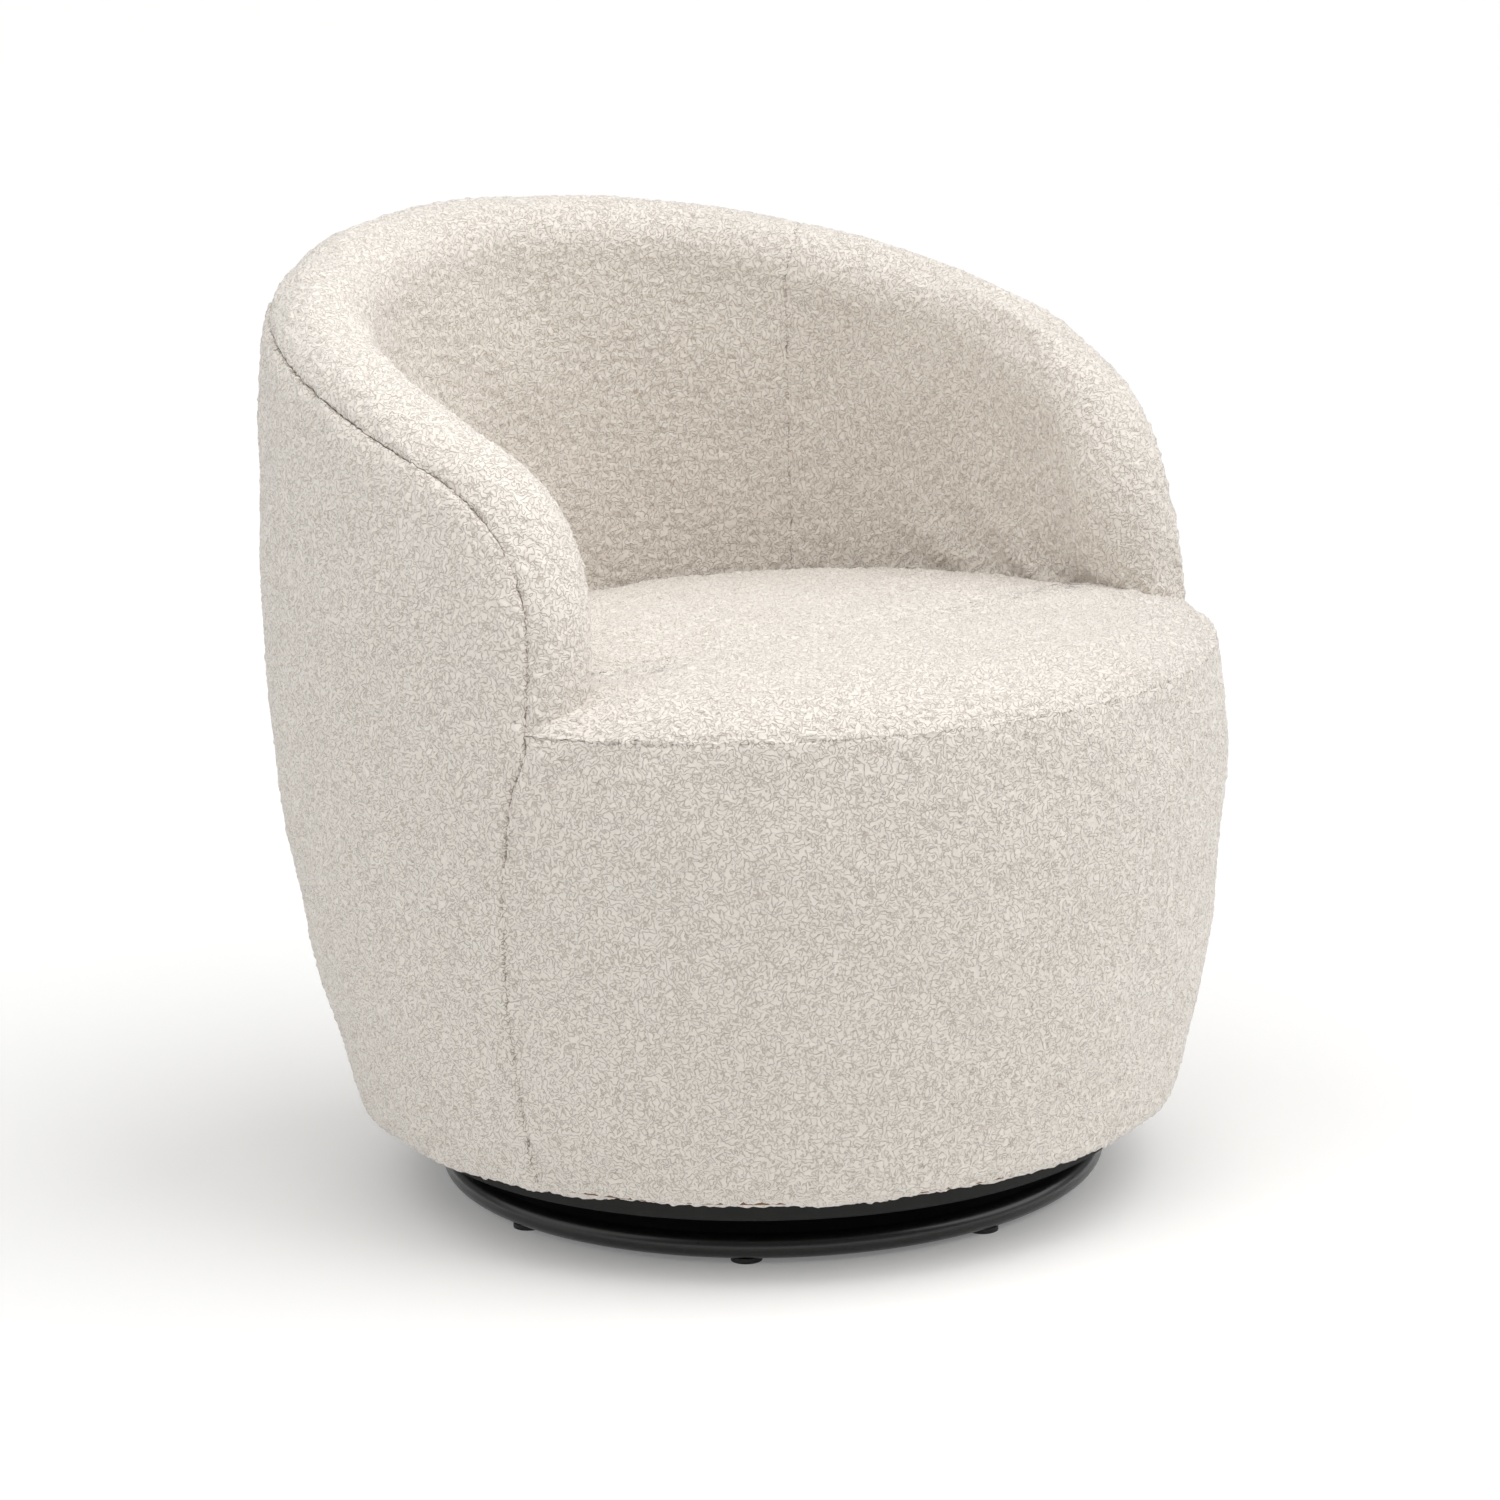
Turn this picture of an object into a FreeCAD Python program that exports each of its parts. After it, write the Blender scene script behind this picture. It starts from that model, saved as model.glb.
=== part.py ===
import FreeCAD
import Part
import math
import os

os.makedirs("parts", exist_ok=True)

# Upholstered swivel tub armchair.  Millimetres, +Z up, front towards -Y, +X to the sitter's left.
# The origin is on the floor, under the middle of the chair's footprint.

# Driving dimensions -------------------------------------------------------------------------------
swivel_y = -19.0            # the swivel axis stands this far in front of the footprint's middle

body_bottom = 44.0          # underside of the upholstered body
hem_round = 18.0            # rounding of the body's lower edge
back_reach = 400.0          # radius of the body's back at its fullest, about the swivel axis
back_fullest = 620.0        # height at which the back is fullest
back_tuck = 74.0            # how much the back draws in towards the base
back_power = 2.6            # how late that draw-in starts
front_reach = 362.0         # radius of the front at its fullest
front_fullest = 340.0       # height at which the front is fullest
front_tuck = 34.0           # how much the front draws in towards the base
front_power = 1.9
front_lean = 44.0           # how much the front draws in above its fullest height
lean_height = 260.0
tuck_level = 72.0           # height at which both draw-ins are measured

roll_radius = 44.0          # half of the wall's thickness and radius of its rounded edge
crest_height = 747.0        # top of the back
crest_drop = 146.0          # fall of the crest from the back to the arm's front
crest_power = 1.75
arm_angle = 108.3           # angle of the arm's front edge from the back
bend_radius = 110.0         # radius at which the arm's edge turns down
unroll_radius = 325.0       # radius at which the wall's mid-line is laid flat
seam_angle = 28.0           # where the roll's seam lies, up from the wall's outer side
back_seam = 45.0            # angle of the seams between back and arms
front_seam = 107.3          # angle of the front panel's seams near the base
front_seam_sweep = 3.6      # and how far they sweep forward by the seat
sweep_start = 150.0
sweep_height = 255.0
nose_room = 8.0             # the front panel stands clear of the arm's rounded front by this much
nose_level = 384.0          # from this height up

cover = 2.5                 # boucle cover with its backing
gap = 0.8                   # room between glued layers
cover_room = 1.3            # room between the outside covers and their wadding
foam = 18.0                 # foam sheet on the roll and the inside
wadding = 5.5               # padding on the outside
panel = 3.0                 # bent fibreboard

seat_apex = 447.0           # top of the crowned seat
seat_apex_y = -130.0        # from the swivel axis
seat_crown = 2900.0         # radius of the seat's crown
seat_seam = 422.0           # height of the seam between seat and front panel
shoulder_wide = 36.0        # the seat's front edge is a quarter ellipse this wide
shoulder_high = 45.0        # and this high
crown_under = 0.3           # the crown stays this much under the flat top it is cut from
seat_room = 3.0             # room between the seat and the walls
seat_foot_inset = 69.0      # the seat's foot reaches under the inside walls
wall_foot = 400.0           # the inside covers end here, behind the seat

board = 18.0                # plywood
board_radius = 288.0
ring_level = 300.0          # underside of the seat ring
ring_outer = 303.0
ring_inner = 250.0
rail_half = 15.0            # top rail, half width
rail_below = 25.0           # top rail below the roll's centre line

base_radius = 265.0
base_wide = 36.0
base_high = 20.0
glide_high = 4.0
glide_radius = 12.0
glide_count = 8
cross_wide = 40.0
cross_high = 8.0
plate_radius = 100.0
plate_thick = 3.0
ball_radius = 5.0
ball_count = 24
race_radius = 70.0
race_wide = 24.0
race_gap = 0.3
pin_radius = 10.0
pin_clearance = 0.05


# Geometry of the body -----------------------------------------------------------------------------
def barrel(phi, z):
    """Outer radius about the swivel axis, phi from the back: back and front profiles, blended by cosine."""
    low = max(back_fullest - z, 0.0) / (back_fullest - tuck_level)
    back = back_reach - back_tuck * low ** back_power
    low = max(front_fullest - z, 0.0) / (front_fullest - tuck_level)
    high = max(z - front_fullest, 0.0) / lean_height
    front = front_reach - front_tuck * low ** front_power - front_lean * high ** 1.5
    share = (1.0 + math.cos(phi)) / 2.0
    rise = min(max(body_bottom + hem_round - z, 0.0), hem_round)
    hem = hem_round - math.sqrt(hem_round ** 2 - rise ** 2)
    return share * back + (1.0 - share) * front - hem


def place(phi, z, inset):
    """Point at an angle from the back and a height, inset from the outer surface."""
    r = barrel(phi, z) - inset
    return FreeCAD.Vector(r * math.sin(phi), r * math.cos(phi) + swivel_y, z)


def crest(u):
    """Height of the roll's centre line over the unrolled distance u from the back."""
    full = math.radians(108.0) * unroll_radius
    return crest_height - roll_radius - crest_drop * (abs(u) / full) ** crest_power


def crest_slope(u):
    """Angle at which the crest falls at u."""
    full = math.radians(108.0) * unroll_radius
    return math.atan(crest_drop * crest_power * (u / full) ** (crest_power - 1.0) / full)


arm_end = math.radians(arm_angle) * unroll_radius
bend_start = arm_end - 0.6 * bend_radius
for step in range(20):
    bend_start = arm_end - bend_radius + bend_radius * math.sin(crest_slope(bend_start))
bend_slope = crest_slope(bend_start)
bend_z = crest(bend_start) - bend_radius * math.cos(bend_slope)


def rim(k, foot):
    """Roll's centre line, unrolled: k 0-1 along the crest, 1-2 round the bend, 2-3 down the arm's front.

    Gives u, z and the outward normal in the unrolled wall.
    """
    if k <= 1.0:
        u = k * bend_start
        slope = crest_slope(u)
        return u, crest(u), math.sin(slope), math.cos(slope)
    if k <= 2.0:
        a = bend_slope + (k - 1.0) * (math.pi / 2.0 - bend_slope)
        u = arm_end - bend_radius + bend_radius * math.sin(a)
        return u, bend_z + bend_radius * math.cos(a), math.sin(a), math.cos(a)
    return arm_end, bend_z + (k - 2.0) * (foot - bend_z), 1.0, 0.0


def roll_point(k, theta, radius, foot):
    """Point on a tube about the rim line; theta 0 is the outer side, 90 the crest, 180 the inner side."""
    u, z, out_u, out_z = rim(abs(k), foot)
    reach = radius * math.sin(theta)
    phi = math.copysign((u + reach * out_u) / unroll_radius, k)
    return place(phi, z + reach * out_z, roll_radius - radius * math.cos(theta))


def inner_point(k, v, depth, foot):
    """Point on the inside wall, depth under its surface; v runs from the rim (0) down to the foot (1)."""
    u, z, out_u, out_z = rim(abs(k), foot)
    foot_u = u if abs(k) <= 1.0 else bend_start + (abs(k) - 1.0) * 6.0
    phi = math.copysign((u + v * (foot_u - u)) / unroll_radius, k)
    return place(phi, z + v * (foot - z), 2.0 * roll_radius - depth)


def steps(low, high, count):
    """Evenly spaced values, both ends included."""
    return [low + (high - low) * i / (count - 1) for i in range(count)]


def skin(outer, inner):
    """Solid between two matching grids of points, each drawn through by one smooth surface."""
    sheets = []
    for grid in (outer, inner):
        surface = Part.BSplineSurface()
        surface.interpolate(grid)
        sheets.append(surface)
    faces = [s.toShape() for s in sheets]
    first_u, last_u, first_v, last_v = sheets[0].bounds()
    lower_u, upper_u, lower_v, upper_v = sheets[1].bounds()
    for a, b in ((first_u, lower_u), (last_u, upper_u)):
        faces.append(Part.makeRuledSurface(sheets[0].uIso(a).toShape(), sheets[1].uIso(b).toShape(), 1))
    for a, b in ((first_v, lower_v), (last_v, upper_v)):
        faces.append(Part.makeRuledSurface(sheets[0].vIso(a).toShape(), sheets[1].vIso(b).toShape(), 1))
    shell = Part.makeShell(faces)
    shell.sewShape()
    solid = Part.makeSolid(shell)
    if solid.Volume < 0:
        solid.reverse()
    return solid


def front_seam_at(z):
    """Angle of the front panel's seam at a height."""
    return math.radians(front_seam + front_seam_sweep * (max(z - sweep_start, 0.0) / sweep_height) ** 2)


def beyond_rim(u, z):
    """Distance of an unrolled point outside the roll's centre line, negative inside it."""
    across = u - (arm_end - bend_radius)
    if z <= bend_z:
        return u - arm_end
    if math.atan2(across, z - bend_z) > bend_slope:
        return math.hypot(across, z - bend_z) - bend_radius
    return (z - crest(u)) * math.cos(crest_slope(max(u, 0.0)))


def outer_point(u, z, depth):
    """Point under the outside surface, which rounds over the roll above the seat."""
    reach = max(beyond_rim(abs(u), z), 0.0) * min(max((z - wall_foot) / 30.0, 0.0), 1.0)
    radius = roll_radius - depth
    reach = min(reach, radius)
    return place(u / unroll_radius, z, roll_radius - math.sqrt(radius ** 2 - reach ** 2))


def along(points, share):
    """Point at a share of the length of a line through points."""
    lengths = [math.dist(a, b) for a, b in zip(points, points[1:])]
    left = share * sum(lengths)
    for (a, b), length in zip(zip(points, points[1:]), lengths):
        if left <= length:
            t = left / length
            return a[0] + t * (b[0] - a[0]), a[1] + t * (b[1] - a[1])
        left -= length
    return points[-1]


def rim_offset(k, reach):
    """Unrolled point off the roll's centre line."""
    u, z, out_u, out_z = rim(k, wall_foot)
    return u + reach * out_u, z + reach * out_z


def mirrored(grid):
    """The same grid of points on the chair's other side."""
    return [[FreeCAD.Vector(-point.x, point.y, point.z) for point in row] for row in grid]


def side_patch(reach, foot, seam_room, depths):
    """Grids on the outside of the left arm, from the back seam to the front seam and up to the roll.

    Its outline in the unrolled wall has four sides, and the points inside are blended from them.
    """
    start = math.radians(back_seam) * unroll_radius + seam_room
    top = [rim_offset(k, reach) for k in steps(start / bend_start, 1.5, 40)]
    left = [(start, foot), top[0]]
    front = [(front_seam_at(z) * unroll_radius - seam_room, z) for z in steps(foot, wall_foot - 20, 20)]
    right = front + [rim_offset(k, reach) for k in steps(2.9, 1.5, 30)]
    bottom = [left[0], right[0]]
    grids = []
    for depth in depths:
        grid = []
        for i in range(15):
            a = i / 14.0
            row = []
            for j in range(25):
                b = j / 24.0
                ends = [along(bottom, a), along(top, a), along(left, b), along(right, b)]
                corners = [bottom[0], bottom[1], top[0], top[-1]]
                shares = [(1 - a) * (1 - b), a * (1 - b), (1 - a) * b, a * b]
                u, z = [(1 - b) * ends[0][n] + b * ends[1][n] + (1 - a) * ends[2][n] + a * ends[3][n]
                        - sum(s * c[n] for s, c in zip(shares, corners)) for n in (0, 1)]
                row.append(outer_point(u, z, depth))
            grid.append(row)
        grids.append(grid)
    return grids


def back_patch(reach, foot, seam_room, depths):
    """Solid on the outside of the back, between its two seams and up to the roll."""
    edge = math.radians(back_seam) * unroll_radius - seam_room
    grids = []
    for depth in depths:
        grid = []
        for u in steps(-edge, edge, 21):
            top = rim_offset(abs(u) / bend_start, reach)[1]
            levels = steps(foot, top - roll_radius, 19) + steps(top - roll_radius, top, 12)[1:]
            grid.append([outer_point(u, z, depth) for z in levels])
        grids.append(grid)
    return skin(grids[0], grids[1])


def front_patch(low, high, seam_room, depths):
    """Solid round the front, between the arms' seams."""
    grids = []
    for depth in depths:
        grid = []
        for a in steps(0.0, 1.0, 25):
            row = []
            for z in steps(low, high, 19):
                step_back = nose_room * min(max((z - nose_level) / 15.0, 0.0), 1.0)
                edge = front_seam_at(z) + (seam_room + step_back) / unroll_radius
                row.append(place(edge + a * 2.0 * (math.pi - edge), z, depth + shoulder(z)))
            grid.append(row)
        grids.append(grid)
    return skin(grids[0], grids[1])


def inside_patch(k_low, k_high, theta, depths, foot):
    """Grids over the roll from an angle on its outer side, and down the inside wall to the foot."""
    grids = []
    count = 11 + int(12 * (k_high - k_low))
    for depth in depths:
        grid = []
        for k in steps(k_low, k_high, count):
            row = [roll_point(k, math.radians(t), roll_radius - depth, foot) for t in steps(theta, 180.0, 9)]
            row += [inner_point(k, v, depth, foot) for v in steps(0.0, 1.0, 15)[1:]]
            grid.append(row)
        grids.append(grid)
    return grids


def rail(k_low, k_high, foot):
    """Wooden rail inside the roll, from a little above its centre line to well below it."""
    grids = []
    for side in (rail_half, -rail_half):
        grid = []
        for k in steps(k_low, k_high, 9 + int(14 * (k_high - k_low))):
            u, z, out_u, out_z = rim(abs(k), foot)
            grid.append([place(math.copysign((u + d * out_u) / unroll_radius, k), z + d * out_z,
                               roll_radius - side)
                         for d in steps(-rail_below, rail_half, 5)])
        grids.append(grid)
    return grids


def shoulder(z):
    """Inset of the seat's rounded front edge at a height, a quarter ellipse."""
    rise = min(max((z - seat_apex + shoulder_high) / shoulder_high, 0.0), 1.0)
    return shoulder_wide * (1.0 - math.sqrt(1.0 - rise ** 2))


def save(shape, name):
    """Write one node."""
    shape.exportStep("parts/" + name + ".step")
    print(name, "valid" if shape.isValid() else "INVALID", len(shape.Solids), round(shape.Volume / 1000.0, 1))


def save_pair(grids, name):
    """Write a left piece and its mirror image on the right."""
    save(skin(*grids), name + "_left")
    save(skin(*[mirrored(grid) for grid in grids]), name + "_right")


def at_axis(shape):
    """Move a shape drawn about the swivel axis to the chair's own frame."""
    shape.translate(FreeCAD.Vector(0, swivel_y, 0))
    return shape


def disc(radius, low, high, hole=0.0):
    """Round plate about the swivel axis."""
    shape = Part.makeCylinder(radius, high - low, FreeCAD.Vector(0, 0, low))
    if hole > 0:
        shape = shape.cut(Part.makeCylinder(hole, high - low, FreeCAD.Vector(0, 0, low)))
    return shape


def polar(radius, degrees, z=0.0):
    """Point at an angle anticlockwise from +X about the swivel axis."""
    a = math.radians(degrees)
    return FreeCAD.Vector(radius * math.cos(a), radius * math.sin(a), z)


# Base ---------------------------------------------------------------------------------------------
def base_ring():
    """Steel ring with a half-round outer edge."""
    low = glide_high
    high = glide_high + base_high
    edge = base_high / 2.0
    inner = base_radius - base_wide
    flat = base_radius - edge
    points = [(inner, low), (flat, low), (base_radius, low + edge), (flat, high), (inner, high)]
    p = [FreeCAD.Vector(x, 0, z) for x, z in points]
    outline = Part.Wire([Part.LineSegment(p[0], p[1]).toShape(), Part.Arc(p[1], p[2], p[3]).toShape(),
                         Part.LineSegment(p[3], p[4]).toShape(), Part.LineSegment(p[4], p[0]).toShape()])
    return Part.Face(outline).revolve(FreeCAD.Vector(0, 0, 0), FreeCAD.Vector(0, 0, 1), 360)


cross_low = glide_high + 5.0
cross_top = cross_low + cross_high
plate_top = cross_top + plate_thick
upper_plate_low = body_bottom - plate_thick
ball_level = (plate_top + upper_plate_low) / 2.0
bolt_circle = 91.0
bolt_radius = 3.0
bolt_head = 5.5
head_high = 4.0
bolt_play = 0.1


def base_bars():
    """Flat bars inside the ring, with bolt holes: one from side to side, and two halves welded to it."""
    length = 2.0 * base_radius
    half = cross_wide / 2.0
    room = disc(base_radius - base_wide, cross_low, cross_top)
    for quarter in range(4):
        centre = polar(bolt_circle, 90 * quarter, cross_low)
        room = room.cut(Part.makeCylinder(bolt_radius, cross_high, centre))
    whole = Part.makeBox(length, cross_wide, cross_high, FreeCAD.Vector(-length / 2, -half, cross_low))
    halves = [Part.makeBox(cross_wide, base_radius, cross_high, FreeCAD.Vector(-half, y, cross_low))
              for y in (half, -half - base_radius)]
    return whole.common(room), Part.makeCompound([bar.common(room) for bar in halves])


def race(low, high):
    """Ring with the ball groove cut into it."""
    ring = disc(race_radius + race_wide / 2, low, high, race_radius - race_wide / 2)
    groove = Part.makeTorus(race_radius, ball_radius + race_gap, FreeCAD.Vector(0, 0, ball_level))
    return ring.cut(groove)


def swivel_plate(low, race_low, race_high, first_bolt, bore):
    """Round plate with its ball race and four bolt holes."""
    shape = disc(plate_radius, low, low + plate_thick, bore).fuse(race(race_low, race_high))
    for quarter in range(4):
        centre = polar(bolt_circle, first_bolt + 90 * quarter, low)
        shape = shape.cut(Part.makeCylinder(bolt_radius, plate_thick, centre))
    return shape.removeSplitter()


def bolts(first, head_low, shank_low, shank_high):
    """Four hexagon bolts in a circle."""
    group = []
    for quarter in range(4):
        centre = polar(bolt_circle, first + 90 * quarter)
        corners = [centre + polar(bolt_head, 60 * i, head_low) for i in range(7)]
        head = Part.Face(Part.makePolygon(corners)).extrude(FreeCAD.Vector(0, 0, head_high))
        foot = centre + FreeCAD.Vector(0, 0, shank_low)
        shank = Part.makeCylinder(bolt_radius - bolt_play, shank_high - shank_low, foot)
        group.append(head.fuse(shank).removeSplitter())
    return Part.makeCompound(group)


save(at_axis(base_ring()), "base_ring")
whole_bar, half_bars = base_bars()
save(at_axis(whole_bar), "base_long_bar")
save(at_axis(half_bars), "base_half_bars")
glide_circle = base_radius - base_wide / 2
glides = [Part.makeCylinder(glide_radius, glide_high, polar(glide_circle, 360 / glide_count * i))
          for i in range(glide_count)]
save(at_axis(Part.makeCompound(glides)), "floor_glides")
lower_race_top = ball_level - 2.5
upper_race_low = ball_level + 2.5
save(at_axis(swivel_plate(cross_top, plate_top, lower_race_top, 0, 0)), "swivel_lower_plate")
save(at_axis(bolts(0, plate_top, cross_low, plate_top)), "lower_plate_bolts")
clip_low = body_bottom + 0.7
clip_thick = 1.5
pin_top = clip_low + clip_thick + 4.0
save(at_axis(disc(pin_radius, plate_top, pin_top)), "pivot_pin")
save(at_axis(disc(pin_radius + 6, clip_low, clip_low + clip_thick, pin_radius)), "pivot_clip")

cage = disc(race_radius + 9, ball_level - 1, ball_level + 1, race_radius - 9)
balls = []
for i in range(ball_count):
    centre = polar(race_radius, 360 / ball_count * i, ball_level)
    cage = cage.cut(Part.makeCylinder(ball_radius + 0.2, 2, centre - FreeCAD.Vector(0, 0, 1)))
    balls.append(Part.makeSphere(ball_radius, centre))
save(at_axis(cage), "ball_cage")
save(at_axis(Part.makeCompound(balls)), "bearing_balls")

save(at_axis(swivel_plate(upper_plate_low, upper_race_low, upper_plate_low, 45, pin_radius + pin_clearance)),
     "swivel_upper_plate")
save(at_axis(bolts(45, upper_plate_low - 4, upper_plate_low, body_bottom + board - 4)), "upper_plate_bolts")

# Wooden frame -------------------------------------------------------------------------------------
board_low = body_bottom + 0.2
board_top = board_low + board
base_board = disc(board_radius, board_low, board_top, 25.0)
for quarter in range(4):
    centre = polar(bolt_circle, 45 + 90 * quarter, board_low)
    base_board = base_board.cut(Part.makeCylinder(bolt_radius, board, centre))
base_board = at_axis(base_board)
save(base_board, "base_board")

rib_room = 1.6                                              # between the ribs and the panels
outer_depth = cover + cover_room + wadding + gap            # inset of the outside panels
rib_outer = outer_depth + panel + rib_room                  # inset of the ribs' outer edge
rib_inner = 2.0 * roll_radius - (cover + gap + foam + gap + panel + rib_room)
rail_room = 7.0                                             # between the ribs and the top rail
ring_shift = 8.0


def rib(degrees, low_inner, top):
    """Plywood upright in a vertical plane through the swivel axis, with a ledge under the seat ring."""
    phi = math.radians(degrees)
    outer = [FreeCAD.Vector(0, barrel(phi, z) - rib_outer, z) for z in steps(board_top + 4, top, 14)]
    inner = [FreeCAD.Vector(0, barrel(phi, z) - rib_inner, z) for z in steps(top, ring_level, 8)]
    edges = []
    for points in (outer, inner):
        edge = Part.BSplineCurve()
        edge.interpolate(points)
        edges.append(edge.toShape())
    foot = [(ring_inner + 14, ring_level), (low_inner, board_top), (outer[0].y - 30, board_top)]
    path = Part.makePolygon([inner[-1]] + [FreeCAD.Vector(0, r, z) for r, z in foot] + [outer[0]])
    head = Part.makePolygon([outer[-1], inner[0]])
    face = Part.Face(Part.Wire([edges[0]] + head.Edges + [edges[1]] + path.Edges))
    shape = face.extrude(FreeCAD.Vector(board, 0, 0))
    shape.translate(FreeCAD.Vector(-board / 2, 0, 0))
    shape.rotate(FreeCAD.Vector(0, 0, 0), FreeCAD.Vector(0, 0, 1), -degrees)
    return at_axis(shape)


rib_foot = 205.0
rib_angles = [0, 30, 60, 88]
for degrees in rib_angles:
    top = crest(math.radians(degrees) * unroll_radius) - rail_below - rail_room
    if degrees == 0:
        save(rib(0, rib_foot, top), "back_rib_center")
        continue
    save(rib(degrees, rib_foot, top), "back_rib_left_%d" % degrees)
    save(rib(-degrees, rib_foot, top), "back_rib_right_%d" % degrees)
front_top = seat_apex - shoulder_high - 14.0
front_angles = [("left_outer", 128), ("left_inner", 154), ("center", 180),
                ("right_inner", 206), ("right_outer", 232)]
for name, degrees in front_angles:
    save(rib(degrees, rib_foot, front_top), "front_rib_" + name)
post_top = wall_foot - 60.0
save(rib(arm_angle - 1.0, rib_foot, post_top - gap), "arm_post_left")
save(rib(1.0 - arm_angle, rib_foot, post_top - gap), "arm_post_right")

back_k = math.radians(back_seam) * unroll_radius / bend_start
joint_k = 0.3 / bend_start
save(skin(*rail(-back_k, back_k, post_top)), "back_top_rail")
save_pair(rail(back_k + joint_k, 3.0, post_top), "arm_rail")

ring_top = ring_level + board
seat_ring = disc(ring_outer, ring_level, ring_top, ring_inner)
seat_ring.translate(FreeCAD.Vector(0, ring_shift, 0))
save(at_axis(seat_ring), "seat_ring")

# Seat springs -------------------------------------------------------------------------------------
wire_radius = 1.9
spring_pitch = 24.0
spring_half = 22.0
spring_level = ring_top + 1.2 + wire_radius + 0.2
spring_places = [-160.0, -80.0, 0.0, 80.0, 160.0]
clip_reach = 12.0


def spring(x):
    """Sinuous spring: a wire that zigzags from the back of the ring to its front."""
    half = math.sqrt(ring_inner ** 2 - (abs(x) + spring_half) ** 2) + clip_reach
    turns = 2 * int(half / spring_pitch)
    start = -turns * spring_pitch / 2
    bend = spring_pitch / 2
    straight = spring_half - bend
    edges = []
    for i in range(turns):
        y = start + spring_pitch * i
        side = 1 if i % 2 == 0 else -1
        p = [FreeCAD.Vector(-side * straight, y, 0), FreeCAD.Vector(side * straight, y, 0),
             FreeCAD.Vector(side * spring_half, y + bend, 0),
             FreeCAD.Vector(side * straight, y + spring_pitch, 0)]
        edges.append(Part.LineSegment(p[0], p[1]).toShape())
        edges.append(Part.Arc(p[1], p[2], p[3]).toShape())
    last = start + spring_pitch * turns
    end = Part.LineSegment(FreeCAD.Vector(-straight, last, 0), FreeCAD.Vector(straight, last, 0))
    edges.append(end.toShape())
    profile = Part.Wire(Part.makeCircle(wire_radius, edges[0].Vertexes[0].Point, FreeCAD.Vector(1, 0, 0)))
    shape = Part.Wire(edges).makePipeShell([profile], True, False)
    shape.translate(FreeCAD.Vector(x, ring_shift, spring_level))
    return shape, last


def spring_clip(x, y, side):
    """Folded steel clip that holds a spring's end bar on the ring."""
    base = Part.makeBox(16, 14, 1.2, FreeCAD.Vector(x - 8, y - 7, ring_top))
    fold = wire_radius + 0.4
    back_y = y + side * fold if side > 0 else y - fold - 1.2
    wall = Part.makeBox(16, 1.2, 2 * fold + 2.2, FreeCAD.Vector(x - 8, back_y, ring_top))
    low_y = y - 3 if side > 0 else y - fold - 1.2
    lip = Part.makeBox(16, fold + 4.2, 1.0, FreeCAD.Vector(x - 8, low_y, spring_level + wire_radius + 0.2))
    return base.fuse([wall, lip]).removeSplitter()


clips = []
for index, x in enumerate(spring_places):
    shape, last = spring(x)
    save(at_axis(shape), "seat_spring_%d" % (index + 1))
    clips += [spring_clip(x, ring_shift + last, 1), spring_clip(x, ring_shift - last, -1)]
save(at_axis(Part.makeCompound(clips)), "spring_clips")
pad_low = spring_level + wire_radius + 1.6
pad = disc(ring_outer - 25, pad_low, pad_low + panel)
pad.translate(FreeCAD.Vector(0, ring_shift, 0))
save(at_axis(pad), "spring_pad")

# Panels, padding and foam -------------------------------------------------------------------------
lower_edge = board_top + 4.0
wall_low = body_bottom + 1.0
panel_depths = (outer_depth, outer_depth + panel)
wadding_depths = (cover + cover_room, cover + cover_room + wadding)

save(back_patch(-8.0, lower_edge, 0.4, panel_depths), "outer_panel_back")
save_pair(side_patch(-8.0, lower_edge, 0.4, panel_depths), "outer_panel")
save(front_patch(lower_edge, front_top, 2.0, panel_depths), "front_panel_board")
save(back_patch(4.0, wall_low + 1, 0.4, wadding_depths), "outer_wadding_back")
save_pair(side_patch(4.0, wall_low + 1, 0.4, wadding_depths), "outer_wadding")
save(front_patch(wall_low + 1, front_top, 2.0, wadding_depths), "front_wadding")
foam_depths = (cover + gap, cover + gap + foam)
roll_start = 16.0
save(skin(*inside_patch(-back_k, back_k, roll_start, foam_depths, wall_foot + 1)), "inside_back_foam")
save_pair(inside_patch(back_k + joint_k, 3.0, roll_start, foam_depths, wall_foot + 1), "inside_arm_foam")


def inner_panel():
    """Bent board behind the inside foam, up to the top rail."""
    near = 2.0 * roll_radius - (cover + gap + foam + gap)
    grids = []
    for depth in (near, near - panel):
        grid = []
        for u in steps(-bend_start, bend_start, 33):
            top = crest(u) - 8.0
            grid.append([place(u / unroll_radius, z, depth) for z in steps(wall_foot + 1, top, 13)])
        grids.append(grid)
    return skin(grids[0], grids[1])


save(inner_panel(), "inner_panel")


def plan_circle(z):
    """Radius of the body's nearly round plan at a height, and how far behind the axis its centre is."""
    back, front = barrel(0.0, z), barrel(math.pi, z)
    return (back + front) / 2.0, (back - front) / 2.0


def plan_disc(z, inset, low, high):
    """Round block with the body's plan at height z, inset, from low to high."""
    radius, shift = plan_circle(z)
    return Part.makeCylinder(radius - inset, high - low, FreeCAD.Vector(0, swivel_y + shift, low))


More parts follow.
